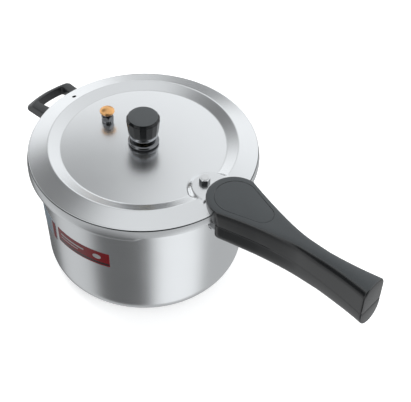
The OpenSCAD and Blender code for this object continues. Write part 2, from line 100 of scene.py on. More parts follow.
# Lid
LID_R = lid_high.x
LUG_DEPTH = 11.4
SKIRT_DEPTH = 7.7
EDGE_Z = lid_low.z + LUG_DEPTH
LID_LUG_ARC = 85
LID_LUG_SOFT = 5
LUG_IN_R = 101.6
LUG_T = 1.5
SKIRT_T = 1.5
LID_T = 2
CREST_R = 88.2
CREST_H = 6.7
VALLEY_R = 77.4
VALLEY_H = 2.9
DOME_H = 6
EDGE_ROUND = 1.5
SKIRT_FLARE = 1.1
EDGE_R = LID_R - SKIRT_FLARE
EDGE_SHADE_SHARE = 0.45
CREASE_ROUND = 0.9
PLAIN_R = 60
PRESSED_W = 45
BLEED_HOLE = -95, 0, 2.1
VENT_HOLE_R = 5.1
VALVE_HOLE_R = 4.1
VALVE_AT = (button_low.x + button_high.x) / 2, (button_low.y + button_high.y) / 2

# Raised tongue under the long handle
TONGUE_X = 84
TONGUE_R = 20.5
TONGUE_END_X = 93
TONGUE_TOP = lid_high.z
TONGUE_BLEND = 2.2
TONGUE_SETBACK = 1.5

# Long handle
GRIP_END_X = grip_high.x
HEAD_R = grip_high.y
HEAD_X = 112
WAIST_X = 190
WAIST_W = 8
END_W = 13.5
SEAM_UP = grip_low.z
SEAM_DOWN = base_grip_high.z
SEAM_RATIO = 0.87
BOTTOM_Z = base_grip_low.z
HEAD_TOP = 148.5
END_TOP = grip_high.z
SHOULDER_Z = 144.5
LOWER_START_X = base_grip_low.x
END_ROUND = 1.6
SEAM_ROUND = 0.5
SEAM_GROOVE = 0.9
HEAD_END_X = 150
SEAM_LEVEL_W = 80
SHOULDER_DIP = 3.5
SHOULDER_DIP_X = 140
SHOULDER_DIP_W = 121.5
HEAD_FULLNESS = 5
END_FULLNESS = 2.2
FULLNESS_X = 135
FULLNESS_W = 75
LIT_TOP_FACING = 0.75
SEAT_GAP = 0.15
PANEL_DEPTH = 1
PANEL_BIG_X = HEAD_X + 1.5
PANEL_BIG_R = HEAD_R - 6
PANEL_SMALL_X = HEAD_X + 31
PANEL_SMALL_R = 10.5

# Bracket arm and screws in the lower half of the long handle
ARM_END_X = box_mm("body_handle_bracket")[1].x
ARM_W = 7
ARM_Z = 112
ARM_T = 3
ARM_GAP = 0.2
LOWER_SCREW_X = 125, 153
LOWER_WELL_R = 4.2
LOWER_WELL_Z = 118
SCREW_BORE_R = 2.1


def mix(a, b, t):
    return a + (b - a) * t


def clamp01(t):
    return min(max(t, 0.0), 1.0)


def smoothstep(t):
    t = clamp01(t)
    return t * t * (3 - 2 * t)


def steps_between(a, b, count):
    """count + 1 evenly spaced numbers from a to b."""
    return [mix(a, b, i / count) for i in range(count + 1)]


# ---- materials --------------------------------------------------------------


def new_material(name):
    material = bpy.data.materials.new(name)
    material.use_nodes = True
    return material, material.node_tree, material.node_tree.nodes["Principled BSDF"]


def add_noise(tree, scale, detail=3.0):
    """Noise over the object's own coordinates, in metres."""
    coords = tree.nodes.new("ShaderNodeTexCoord")
    noise = tree.nodes.new("ShaderNodeTexNoise")
    noise.inputs["Scale"].default_value = scale
    noise.inputs["Detail"].default_value = detail
    tree.links.new(coords.outputs["Object"], noise.inputs["Vector"])
    return noise.outputs["Fac"]


def add_range(tree, value, low, high):
    """Maps a value from 0-1 to low-high."""
    span = tree.nodes.new("ShaderNodeMapRange")
    span.inputs["To Min"].default_value = low
    span.inputs["To Max"].default_value = high
    tree.links.new(value, span.inputs["Value"])
    return span.outputs["Result"]


def add_bump(tree, shader, value, distance, strength):
    bump = tree.nodes.new("ShaderNodeBump")
    bump.inputs["Distance"].default_value = distance * MM
    bump.inputs["Strength"].default_value = strength
    tree.links.new(value, bump.inputs["Height"])
    tree.links.new(bump.outputs["Normal"], shader.inputs["Normal"])


def metal(name, colour, roughness, spread=0.03, grain=0.0):
    """Bare metal whose gloss varies a little. Where grain is set, fine lines run round the axis."""
    material, tree, shader = new_material(name)
    shader.inputs["Base Color"].default_value = (*colour, 1)
    shader.inputs["Metallic"].default_value = 1
    cloudy = add_noise(tree, 35)
    tree.links.new(
        add_range(tree, cloudy, roughness - spread, roughness + spread),
        shader.inputs["Roughness"],
    )
    if grain:
        coords = tree.nodes.new("ShaderNodeTexCoord")
        flat = tree.nodes.new("ShaderNodeVectorMath")
        flat.operation = "MULTIPLY"
        flat.inputs[1].default_value = (1, 1, 0)
        radius = tree.nodes.new("ShaderNodeVectorMath")
        radius.operation = "LENGTH"
        lines = tree.nodes.new("ShaderNodeTexNoise")
        lines.noise_dimensions = "1D"
        lines.inputs["Scale"].default_value = 2500
        tree.links.new(coords.outputs["Object"], flat.inputs[0])
        tree.links.new(flat.outputs["Vector"], radius.inputs[0])
        tree.links.new(radius.outputs["Value"], lines.inputs["W"])
        add_bump(tree, shader, lines.outputs["Fac"], 0.02, grain)
    return material


def plastic(name, colour, roughness, specular=0.5, bumps=0.0, spread=0.04):
    """Moulded plastic or rubber with a faint grain."""
    material, tree, shader = new_material(name)
    shader.inputs["Roughness"].default_value = roughness
    shader.inputs["Specular IOR Level"].default_value = specular
    cloudy = add_noise(tree, 90)
    tone = tree.nodes.new("ShaderNodeMix")
    tone.data_type = "RGBA"
    tone.inputs[6].default_value = (*[c * (1 - spread) for c in colour], 1)
    tone.inputs[7].default_value = (*[c * (1 + spread) for c in colour], 1)
    tree.links.new(cloudy, tone.inputs[0])
    tree.links.new(tone.outputs[2], shader.inputs["Base Color"])
    if bumps:
        add_bump(tree, shader, add_noise(tree, 2600, 2), 0.03, bumps)
    return material


LID_STEEL = metal("lid_steel", (0.85, 0.865, 0.88), 0.26, grain=0.10)
POT_STEEL = metal("pot_steel", (0.84, 0.855, 0.87), 0.24)
BRACKET_STEEL = metal("bracket_steel", (0.62, 0.63, 0.64), 0.34)
SCREW_STEEL = metal("screw_steel", (0.80, 0.81, 0.82), 0.22)
# painted shade for the lid's bent edge, a darkened copy of the lid steel
EDGE_PAINTED_SHADE = metal("edge_painted_shade", (0.10, 0.103, 0.107), 0.26)
# painted shade: a darkened copy of the screw steel for the nut's flats
NUT_PAINTED_SHADE = metal("nut_painted_shade", (0.17, 0.175, 0.18), 0.22)
WEIGHT_STEEL = metal("weight_steel", (0.70, 0.71, 0.72), 0.28)
CHROME = metal("chrome", (0.40, 0.41, 0.43), 0.10, spread=0.02)
# painted shade: a darkened copy of the chrome for the vent collar and valve body, standing in for shade and
# dark reflections
PAINTED_SHADE_CHROME = metal("painted_shade_chrome", (0.20, 0.205, 0.215), 0.12, spread=0.02)
BRASS = metal("brass", (0.78, 0.66, 0.38), 0.24)
COPPER = metal("copper", (0.93, 0.52, 0.22), 0.34)
HANDLE_BLACK = plastic("handle_black", (0.0105, 0.0115, 0.0125), 0.20, 0.9)
HELPER_BLACK = plastic("helper_black", (0.016, 0.018, 0.020), 0.30, 0.9)
# the panel's own matt black, also used as painted light on the handle's upward-facing top
PANEL_BLACK_AND_PAINTED_TOP_LIGHT = plastic("panel_black", (0.060, 0.066, 0.070), 0.5, 0.4, bumps=0.1)
CAP_BLACK = plastic("cap_black", (0.010, 0.011, 0.012), 0.16, 0.34)
# painted light: a lighter black for the top disc of the knob
CAP_TOP_PAINTED_LIGHT = plastic("cap_top_painted_light", (0.070, 0.076, 0.080), 0.45, 0.4, bumps=0.05)
# black rubber, also used as painted shade under the vent collar
RUBBER_AND_PAINTED_SHADE = plastic("black_rubber", (0.022, 0.022, 0.024), 0.62)
LABEL_RED = plastic("label_red", (0.21, 0.006, 0.010), 0.25, 0.35, spread=0.02)
LABEL_DARK = plastic("label_dark", (0.012, 0.012, 0.014), 0.25, spread=0.02)
LABEL_PALE = plastic("label_pale", (0.42, 0.42, 0.43), 0.3, spread=0.02)
LABEL_SILVER = plastic("label_silver", (0.33, 0.40, 0.46), 0.25, spread=0.02)


# ---- mesh building ----------------------------------------------------------


def make_object(name, points, faces, material=None):
    """Mesh object from points in millimetres, with doubled points merged and faces turned outwards."""
    mesh = bpy.data.meshes.new(name)
    mesh.from_pydata([tuple(c * MM for c in p) for p in points], [], faces)
    work = bmesh.new()
    work.from_mesh(mesh)
    bmesh.ops.remove_doubles(work, verts=work.verts, dist=1e-7)
    bmesh.ops.dissolve_degenerate(work, edges=work.edges, dist=1e-8)
    bmesh.ops.recalc_face_normals(work, faces=work.faces)
    work.to_mesh(mesh)
    work.free()
    obj = bpy.data.objects.new(name, mesh)
    bpy.context.scene.collection.objects.link(obj)
    if material:
        mesh.materials.append(material)
    return obj


def shade(obj, angle):
    """Smooth shading with edges sharper than the angle left sharp."""
    obj.data.shade_smooth()
    obj.data.set_sharp_from_angle(angle=math.radians(angle))
    return obj


def place(obj, body, slot, *nodes):
    """Hooks a finished piece to its body, and lets it stand for CAD nodes by hiding them. The slot argument
    is not used.
    """
    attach(obj, body)
    if nodes:
        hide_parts(*nodes)
    return obj


def apply_modifier(obj, modifier):
    with bpy.context.temp_override(object=obj, active_object=obj):
        bpy.ops.object.modifier_apply(modifier=modifier.name)


def cut(obj, *cutters):
    """Takes the cutters away from obj."""
    for cutter in cutters:
        modifier = obj.modifiers.new("cut", "BOOLEAN")
        modifier.operation = "DIFFERENCE"
        modifier.solver = "EXACT"
        modifier.object = cutter
        apply_modifier(obj, modifier)
        bpy.data.objects.remove(cutter)
    return obj


def grid(name, columns, material=None, closed=True):
    """Surface through columns of points, each closed on itself.

    The columns close into a ring, or get flat ends.
    """
    count = len(columns[0])
    points = [p for column in columns for p in column]
    last = len(columns) if closed else len(columns) - 1
    faces = []
    for i in range(last):
        a = i * count
        b = ((i + 1) % len(columns)) * count
        for k in range(count):
            n = (k + 1) % count
            faces.append((a + k, b + k, b + n, a + n))
    if not closed:
        faces.append(tuple(range(count)))
        faces.append(tuple(last * count + k for k in reversed(range(count))))
    return make_object(name, points, faces, material)


def turned(name, outline, material, steps, centre=(0, 0), radius=None):
    """A closed outline of (radius, height) points turned round a vertical axis.

    radius(angle, r, z) may change the radius of a point.
    """
    columns = []
    for i in range(steps):
        angle = 2 * math.pi * i / steps
        column = []
        for r, z in outline:
            reach = radius(angle, r, z) if radius else r
            x = centre[0] + reach * math.cos(angle)
            y = centre[1] + reach * math.sin(angle)
            column.append((x, y, z))
        columns.append(column)
    return grid(name, columns, material)


def rounded(points, radius, steps):
    """A closed outline with each corner rounded, apart from corners on the axis."""
    result = []
    for i, point in enumerate(points):
        p, a, b = Vector(point), Vector(points[i - 1]), Vector(points[(i + 1) % len(points)])
        if p.x <= 1e-9:
            result.append((0.0, p.y))
            continue
        trim = min(radius, 0.45 * (a - p).length, 0.45 * (b - p).length)
        start = p + (a - p).normalized() * trim
        end = p + (b - p).normalized() * trim
        for k in range(steps + 1):
            t = k / steps
            q = start * (1 - t) ** 2 + p * 2 * t * (1 - t) + end * t * t
            result.append((q.x, q.y))
    return result


def prism(name, outline, low, high, material=None):
    """Upright prism over an outline of (x, y) points."""
    count = len(outline)
    points = [(x, y, low) for x, y in outline] + [(x, y, high) for x, y in outline]
    faces = [tuple(reversed(range(count))), tuple(range(count, 2 * count))]
    faces += [(k, (k + 1) % count, count + (k + 1) % count, count + k) for k in range(count)]
    return make_object(name, points, faces, material)


def soft_prism(name, outline, low, high, edge, material):
    """Upright prism with its upper and lower edges rounded off by shrinking the outline."""
    middle = Vector((sum(x for x, y in outline), sum(y for x, y in outline))) / len(outline)
    rings = []
    for turn in steps_between(0, math.pi / 2, 4):
        rings.append((edge * (1 - math.sin(turn)), low + edge * (1 - math.cos(turn))))
    for turn in steps_between(0, math.pi / 2, 4):
        rings.append((edge * (1 - math.cos(turn)), high - edge * (1 - math.sin(turn))))
    columns = []
    for x, y in outline:
        spoke = Vector((x, y)) - middle
        column = []
        for inset, z in rings:
            q = middle + spoke * (1 - inset / spoke.length)
            column.append((q.x, q.y, z))
        columns.append([(middle.x, middle.y, low), *column, (middle.x, middle.y, high)])
    return grid(name, columns, material)


def arc(cx, cy, r, start, end, count):
    """Points on a circle from one angle to another, in degrees."""
    return [
        (cx + r * math.cos(math.radians(a)), cy + r * math.sin(math.radians(a)))
        for a in steps_between(start, end, count)
    ]


def polar_angles(fine_from, fine_to, fine, coarse, extra):
    """Angles round a circle in degrees: fine steps in one stretch, coarse elsewhere, and the extra ones."""
    angles = steps_between(fine_from, fine_to, round((fine_to - fine_from) / fine))
    rest = 360 - (fine_to - fine_from)
    angles += steps_between(fine_to, fine_to + rest, round(rest / coarse))[1:-1]
    angles += [a % 360 for a in extra]
    return sorted({round(a % 360, 4) for a in angles})


def lug_share(angle, arc_width, soft):
    """1 within the lugs at +-90 degrees, 0 between them, with a soft step of that many degrees."""
    away = min(abs((angle - c + 180) % 360 - 180) for c in (90, 270))
    return smoothstep((arc_width / 2 - away) / soft + 0.5)


def lug_edge_angles(arc_width, offsets):
    """Angles close to the ends of both lugs, in degrees."""
    ends = [middle + side * arc_width / 2 for middle in (90, 270) for side in (-1, 1)]
    return [end + offset for end in ends for offset in offsets]


# ---- pot --------------------------------------------------------------------


def wall_r(z):
    return POT_R + (z - POT_CORNER_R) * POT_TAPER


def pot_column(angle):
    """Closed outline of the pot's wall, base and rim at an angle in degrees."""
    rim_top = pot_high.z
    rim_low = rim_top - RIM_T
    flange_r = mix(pot_high.x, pot_high.y, lug_share(angle, RIM_LUG_ARC, 1.5))
    inner_r = POT_CORNER_R - POT_WALL_T
    corner_x = POT_R - POT_CORNER_R
    outside = [(0, BASE_RAISE), (BASE_RING_R - 3, BASE_RAISE), (BASE_RING_R - 1.5, 0.1)]
    outside += [(BASE_RING_R, 0), (corner_x - 1, 0)]
    outside += arc(corner_x, POT_CORNER_R, POT_CORNER_R, -90, 0, 18)
    outside += [(wall_r(z), z) for z in steps_between(POT_CORNER_R + 6, rim_low - 2, 8)]
    outside += [(wall_r(rim_low) + 0.1, rim_low - 0.8), (wall_r(rim_low) + 0.6, rim_low - 0.15)]
    outside += [(flange_r - 1.0, rim_low), (flange_r - 0.3, rim_low + 0.3)]
    outside += [(flange_r, rim_low + 1.0), (flange_r, rim_top - 1.0)]
    outside += [(flange_r - 0.3, rim_top - 0.3), (flange_r - 1.0, rim_top)]
    mouth_r = wall_r(rim_top) - POT_WALL_T
    inside = [(mouth_r + 0.8, rim_top), (mouth_r + 0.2, rim_top - 0.3)]
    inside += [(wall_r(z) - POT_WALL_T, z) for z in steps_between(rim_top - 1.2, POT_CORNER_R + 6, 8)]
    inside += arc(corner_x, POT_CORNER_R, inner_r, 0, -90, 14)
    inside += [(corner_x - 4, POT_WALL_T), (0, POT_WALL_T)]
    return outside + inside


def build_pot():
    lug_ends = lug_edge_angles(RIM_LUG_ARC, (-0.75, -0.25, 0.25, 0.75))
    columns = []
    for angle in polar_angles(0, 90, 1.5, 1.5, lug_ends):
        turn = math.radians(angle)
        columns.append([(r * math.cos(turn), r * math.sin(turn), z) for r, z in pot_column(angle)])
    pot = grid("pot_body", columns, POT_STEEL)
    place(shade(pot, 40), "pot", "pot_steel", "pot_shell")


def band(name, low, high, start, end, paint, materials):
    """Printed band on the pot wall. paint(width share, height share) says which material each cell has."""
    cols = round((end - start) / BAND_CELL_ARC)
    rows = round((high - low) / BAND_CELL_H)
    points = []
    for side in (0, BAND_T):
        for j in range(rows + 1):
            z = mix(low, high, j / rows)
            for i in range(cols + 1):
                turn = math.radians(mix(start, end, i / cols))
                r = wall_r(z) + side
                points.append((r * math.cos(turn), r * math.sin(turn), z))
    wide = cols + 1
    layer = wide * (rows + 1)
    faces, kinds = [], []
    for j in range(rows):
        for i in range(cols):
            k = j * wide + i
            faces.append((layer + k, layer + k + 1, layer + k + wide + 1, layer + k + wide))
            kinds.append(paint((i + 0.5) / cols, (j + 0.5) / rows))
            faces.append((k, k + wide, k + wide + 1, k + 1))
            kinds.append(0)
    rim = list(range(wide))
    rim += [j * wide + cols for j in range(1, rows + 1)]
    rim += [rows * wide + i for i in range(cols - 1, -1, -1)]
    rim += [j * wide for j in range(rows - 1, 0, -1)]
    for a, b in zip(rim, rim[1:] + rim[:1]):
        faces.append((a, b, layer + b, layer + a))
        kinds.append(0)
    mesh = bpy.data.meshes.new(name)
    mesh.from_pydata([tuple(c * MM for c in p) for p in points], [], faces)
    for material in materials:
        mesh.materials.append(material)
    mesh.polygons.foreach_set("material_index", kinds)
    mesh.update()
    obj = bpy.data.objects.new(name, mesh)
    bpy.context.scene.collection.objects.link(obj)
    return shade(obj, 40)


def main_paint(across, up):
    """Plain marks in place of print: 1 on the dark stripe, 2 on the disc and bars, 0 elsewhere."""
    stripe = 0.10 < up < 0.22
    disc = math.hypot((across - 0.79) * 2.4, up - 0.60) < 0.17
    long_bar = 0.08 < across < 0.56 and 0.64 < up < 0.76
    short_bar = 0.08 < across < 0.44 and 0.44 < up < 0.49
    if stripe:
        return 1
    return 2 if disc or long_bar or short_bar else 0


def side_paint(across, up):
    """1 for the red end, 2 for the pale line beside it, 0 elsewhere."""
    if across > 0.86:
        return 1
    return 2 if across > 0.80 else 0


def build_bands():
    main_materials = [LABEL_RED, LABEL_DARK, LABEL_PALE]
    main = band("main_band", band_low.z, band_high.z, *MAIN_BAND_ARC, main_paint, main_materials)
    place(main, "pot", "label_red", "main_label")
    side_materials = [LABEL_SILVER, LABEL_RED, LABEL_PALE]
    side = band("side_band", side_low.z, side_high.z, *SIDE_BAND_ARC, side_paint, side_materials)
    place(side, "pot", "label_silver", "side_label")


# ---- lid --------------------------------------------------------------------


def sheet_line(r):
    """Height of the lid's upper side over its edge, with sharp creases."""
    if r < VALLEY_R:
        return DOME_H - (DOME_H - VALLEY_H) * (r / VALLEY_R) ** 2
    if r < CREST_R:
        return mix(VALLEY_H, CREST_H, (r - VALLEY_R) / (CREST_R - VALLEY_R))
    return CREST_H * (LID_R - r) / (LID_R - CREST_R)


def sheet_height(r):
    """The same with its creases pressed round."""
    return sum(sheet_line(abs(r + CREASE_ROUND * k / 3)) for k in range(-3, 4)) / 7


def tongue_share(x, y, inset):
    """1 on the raised tongue, 0 off it."""
    radius = TONGUE_R - inset
    if x <= TONGUE_X:
        inside = radius - math.hypot(x - TONGUE_X, y)
    else:
        inside = min(radius - abs(y), TONGUE_END_X - inset - x)
    return smoothstep((inside - TONGUE_SETBACK) / (2 * TONGUE_BLEND) + 0.5)


def lid_surface(r, turn, drop, inset):
    """Point on the lid's sheet at a radius and angle, lowered by drop, with the tongue drawn in by inset."""
    x, y = r * math.cos(turn), r * math.sin(turn)
    z = mix(EDGE_Z + sheet_height(r), TONGUE_TOP, tongue_share(x, y, inset))
    return (x, y, z - drop)


def lid_radii(step):
    """Radii of the rings, close together where the sheet is pressed."""
    radii = steps_between(0, PLAIN_R, 10)
    radii += steps_between(PLAIN_R, EDGE_R - EDGE_ROUND, round(PRESSED_W / step))[1:]
    for crease in (VALLEY_R, CREST_R):
        radii += [crease + CREASE_ROUND * share for share in (-1, -0.5, 0, 0.5, 1)]
    return sorted(radii)


def lid_column(angle):
    """Closed outline of the lid at an angle in degrees: over the top, round the skirt and back under."""
    turn = math.radians(angle)
    share = lug_share(angle, LID_LUG_ARC, LID_LUG_SOFT)
    bottom = EDGE_Z - mix(SKIRT_DEPTH, LUG_DEPTH, share)
    skirt_in_r = LID_R - SKIRT_T
    lip_r = mix(skirt_in_r, LUG_IN_R, share)
    lip_soft = 0.35 * share
    flange_z = EDGE_Z + sheet_height(EDGE_R - EDGE_ROUND)
    column = [lid_surface(r, turn, 0, 0) for r in lid_radii(0.62)]
    skirt = []
    for bend in steps_between(15, 81, 6):
        back = EDGE_ROUND * (1 - math.sin(math.radians(bend)))
        down = EDGE_ROUND * (1 - math.cos(math.radians(bend)))
        skirt.append((EDGE_R - back, flange_z - down))
    skirt += [(LID_R, EDGE_Z - SKIRT_DEPTH + 1), (LID_R, bottom + 0.8), (LID_R - 0.2, bottom + 0.25)]
    skirt += [(LID_R - 0.75, bottom)]
    skirt += [(lip_r + lip_soft, bottom), (lip_r, bottom + 0.4), (lip_r, bottom + LUG_T - 0.4)]
    skirt += [(lip_r + lip_soft, bottom + LUG_T), (skirt_in_r, bottom + LUG_T)]
    skirt += [(skirt_in_r, EDGE_Z - 5), (EDGE_R - SKIRT_T, EDGE_Z - LID_T)]
    column += [(r * math.cos(turn), r * math.sin(turn), z) for r, z in skirt]
    under = [r for r in lid_radii(1.2) if r < EDGE_R - SKIRT_T - 0.5]
    column += [lid_surface(r, turn, LID_T, LID_T) for r in reversed(under)]
    return column


def build_lid():
    lug_ends = lug_edge_angles(LID_LUG_ARC, (-2.5, -1.25, 0, 1.25, 2.5))
    columns = [lid_column(angle) for angle in polar_angles(-20, 20, 0.4, 1.5, lug_ends)]
    lid = grid("lid_sheet", columns, LID_STEEL)
    holes = [BLEED_HOLE, (0, 0, VENT_HOLE_R), (*VALVE_AT, VALVE_HOLE_R)]
    for i, (x, y, r) in enumerate(holes):
        outline = arc(x, y, r, 0, 352.5, 47)
        cut(lid, prism(f"hole_{i}", outline, EDGE_Z - 4, EDGE_Z + 20))

    # painted shade: a dark line of steel where the edge turns down into the skirt, for the dark reflection
    # and shadow on the bend
    lid.data.materials.append(EDGE_PAINTED_SHADE)
    shade_r = EDGE_R - EDGE_ROUND * EDGE_SHADE_SHARE
    rim_z = EDGE_Z + sheet_height(EDGE_R - EDGE_ROUND)
    for face in lid.data.polygons:
        middle = face.center / MM
        if math.hypot(middle.x, middle.y) > shade_r and rim_z - EDGE_ROUND < middle.z < rim_z:
            face.material_index = 1
    place(shade(lid, 30), "lid", "lid_steel", "lid_shell")


# ---- long handle ------------------------------------------------------------


def grip_w(x):
    """Half width of the handle at its shoulder."""
    if x < HEAD_X:
        return math.sqrt(max(HEAD_R**2 - (HEAD_X - x) ** 2, 1))
    if x < WAIST_X:
        return WAIST_W + (HEAD_R - WAIST_W) * ((WAIST_X - x) / (WAIST_X - HEAD_X)) ** 1.5
    return WAIST_W + (END_W - WAIST_W) * ((x - WAIST_X) / (GRIP_END_X - WAIST_X)) ** 2.5


def seam_w(x):
    return grip_w(x) * mix(SEAM_RATIO, 1, clamp01((x - HEAD_END_X) / SEAM_LEVEL_W))


def grip_top(x):
    share = clamp01((x - HEAD_END_X) / (GRIP_END_X - HEAD_END_X))
    return HEAD_TOP + (END_TOP - HEAD_TOP) * share**2


def grip_shoulder(x):
    share = clamp01((x - SHOULDER_DIP_X) / SHOULDER_DIP_W)
    return SHOULDER_Z - SHOULDER_DIP * math.sin(math.pi * share) ** 2


def grip_fullness(x):
    """Power of the superellipse that the handle's top follows: high for a flat top, 2 for a round one."""
    return mix(HEAD_FULLNESS, END_FULLNESS, clamp01((x - FULLNESS_X) / FULLNESS_W))


def superellipse(a, b, n, turn):
    """Point on the upper half of a superellipse with half axes a and b."""
    c, s = math.cos(turn), math.sin(turn)
    return a * math.copysign(abs(c) ** (2 / n), c), b * abs(s) ** (2 / n)


def upper_section(x):
    """Closed section of the upper half, as (y, z) points."""
    w, low = grip_w(x), seam_w(x)
    shoulder, rise, n = grip_shoulder(x), grip_top(x) - grip_shoulder(x), grip_fullness(x)
    over = []
    for turn in steps_between(0, math.pi, 36):
        y, z = superellipse(w, rise, n, turn)
        if x < HEAD_X:
            out = clamp01(math.hypot(HEAD_X - x, y) / HEAD_R)
            z = rise * (1 - out**n) ** (1 / n)
        over.append((y, shoulder + z))
    right = [(low - SEAM_GROOVE, SEAM_UP), (low - SEAM_GROOVE, SEAM_UP + 0.3)]
    right += [(low - 0.2, SEAM_UP + 0.3), (low, SEAM_UP + SEAM_ROUND)]
    right += [(mix(low, w, t), mix(SEAM_UP, shoulder, t)) for t in (0.25, 0.5, 0.75)]
    left = [(-y, z) for y, z in reversed(right)]
    return right + over + left


def lower_section(x):
    """Closed section of the lower half, as (y, z) points."""
    w = seam_w(x)
    rim_z = SEAM_DOWN - SEAM_ROUND
    under = []
    for turn in steps_between(0, math.pi, 40):
        y, z = superellipse(w, rim_z - BOTTOM_Z, grip_fullness(x), turn)
        under.append((-y, rim_z - z))
    rim = [(w - 0.2, SEAM_DOWN - 0.3), (w - SEAM_GROOVE, SEAM_DOWN - 0.3)]
    rim += [(w - SEAM_GROOVE, SEAM_DOWN)]
    return under + rim + [(-y, z) for y, z in reversed(rim)]


def loft_along_x(name, stations, section, end_round, material):
    """Handle half through its sections, with the edge of its far end rounded off."""
    columns = [[(x, y, z) for y, z in section(x)] for x in stations]
    last = section(stations[-1])
    half_y = max(y for y, z in last)
    low_z, high_z = min(z for y, z in last), max(z for y, z in last)
    mid_z, half_z = (low_z + high_z) / 2, (high_z - low_z) / 2
    for turn in steps_between(0, math.pi / 2, 5)[1:]:
        inset = end_round * (1 - math.cos(turn))
        x = stations[-1] + end_round * math.sin(turn)
        sy, sz = 1 - inset / half_y, 1 - inset / half_z
        columns.append([(x, y * sy, mid_z + (z - mid_z) * sz) for y, z in last])
    return grid(name, columns, material, closed=False)


def panel_outline(shrink):
    """Outline of the inset panel: a large and a small round end with straight sides."""
    big_r, small_r = PANEL_BIG_R - shrink, PANEL_SMALL_R - shrink
    lean = math.degrees(math.asin((big_r - small_r) / (PANEL_SMALL_X - PANEL_BIG_X)))
    outline = arc(PANEL_BIG_X, 0, big_r, 90 - lean, 270 + lean, 56)
    outline += arc(PANEL_SMALL_X, 0, small_r, lean - 90, 90 - lean, 28)
    return outline


def lid_clearance():
    """Block under the lid's top side, raised by a gap, for cutting the seat of the handle's head."""
    low = EDGE_Z - 44
    out_r = LID_R + 0.8
    radii = [r for r in lid_radii(0.62) if r > 64]
    columns = []
    for turn in steps_between(math.radians(-24), math.radians(24), 120):
        column = [(r * math.cos(turn), r * math.sin(turn), low) for r in (radii[0], out_r)]
        column.append((out_r * math.cos(turn), out_r * math.sin(turn), EDGE_Z + 0.2))
        column += [lid_surface(r, turn, -SEAT_GAP, 0) for r in reversed(radii)]
        columns.append(column)
    return grid("lid_clearance", columns, closed=False)


def rear_stations():
    """X of the sections behind the widest place of the head."""
    return steps_between(HEAD_X, GRIP_END_X - END_ROUND, 72)[1:]


def build_handle_upper():
    head = [HEAD_X - HEAD_R * math.cos(math.radians(a)) for a in steps_between(2.5, 90, 34)]
    stations = head + rear_stations()
    upper = loft_along_x("handle_upper", stations, upper_section, END_ROUND, HANDLE_BLACK)
    recess = prism("panel_recess", panel_outline(0), HEAD_TOP - PANEL_DEPTH, HEAD_TOP + 10)
    cut(upper, lid_clearance(), recess)
    upper.data.materials.append(PANEL_BLACK_AND_PAINTED_TOP_LIGHT)
    # painted light: faces of the top that face upwards take the lighter panel black, as the lit top of the
    # handle
    for face in upper.data.polygons:
        over = face.center.z / MM - grip_shoulder(face.center.x / MM)
        if face.normal.z > LIT_TOP_FACING and over > 1:
            face.material_index = 1
    # the lid shows no mirror image of the handle
    upper.visible_glossy = False
    place(shade(upper, 30), "lid", "handle_black", "lid_handle")


def build_handle_panel():
    floor_z = HEAD_TOP - PANEL_DEPTH
    panel = soft_prism("handle_panel", panel_outline(0.3), floor_z, panel_top, 0.45, PANEL_BLACK_AND_PAINTED_TOP_LIGHT)
    place(shade(panel, 40), "lid", "panel_black", "lid_handle_panel")


def build_handle_lower():
    stations = [LOWER_START_X] + [x for x in [HEAD_X, *rear_stations()] if x > LOWER_START_X]
    lower = loft_along_x("handle_lower", stations, lower_section, END_ROUND, HANDLE_BLACK)
    start, end, side = LOWER_START_X - 1, ARM_END_X + 2 * ARM_GAP, ARM_W + ARM_GAP
    slot = [(start, -side), (end, -side), (end, side), (start, side)]
    cut(lower, prism("arm_slot", slot, ARM_Z - ARM_GAP, ARM_Z + ARM_T + ARM_GAP))
    for x in LOWER_SCREW_X:
        well = arc(x, 0, LOWER_WELL_R, 0, 345, 23)
        bore = arc(x, 0, SCREW_BORE_R, 0, 345, 23)
        cut(lower, prism("screw_well", well, LOWER_WELL_Z, SEAM_DOWN + 14))
        cut(lower, prism("screw_bore", bore, BOTTOM_Z + 2, LOWER_WELL_Z + 1))
    place(shade(lower, 30), "pot", "handle_black", "body_handle")


# ---- helper handle ----------------------------------------------------------


LOOP_LEAN = 8
LOOP_SIDE_H = 3
LOOP_BULGE = 3.6
LOOP_BAR_W = 2.8
LOOP_CORNER_R = 4
GAP_IN_X = -112
GAP_W = 16
GAP_ROOT_W = 13
GAP_CORNER_R = 2
HELPER_SCREW_Y = 8
HELPER_WELL_R = 3.8
HELPER_WELL_DEPTH = 3.2


def loop_back(z):
    """How far the outer side leans back at a height, with its crease rounded."""
    crease = loop_low.z + LOOP_SIDE_H
    slope = LOOP_LEAN / (loop_high.z - crease)
    return sum(max(0, z + 0.35 * k - crease) * slope for k in range(-2, 3)) / 5


def loop_point(turn, out_x, in_x, half_y, root_y, corner):
    """Point on a bulging outline between two X, whose half width runs from half_y to root_y."""
    x, y = box_point(turn, out_x, in_x, half_y, corner)
    share = (in_x - x) / (in_x - out_x)
    return x + LOOP_BULGE * share * (y / loop_high.y) ** 2, y * mix(root_y / half_y, 1, share)


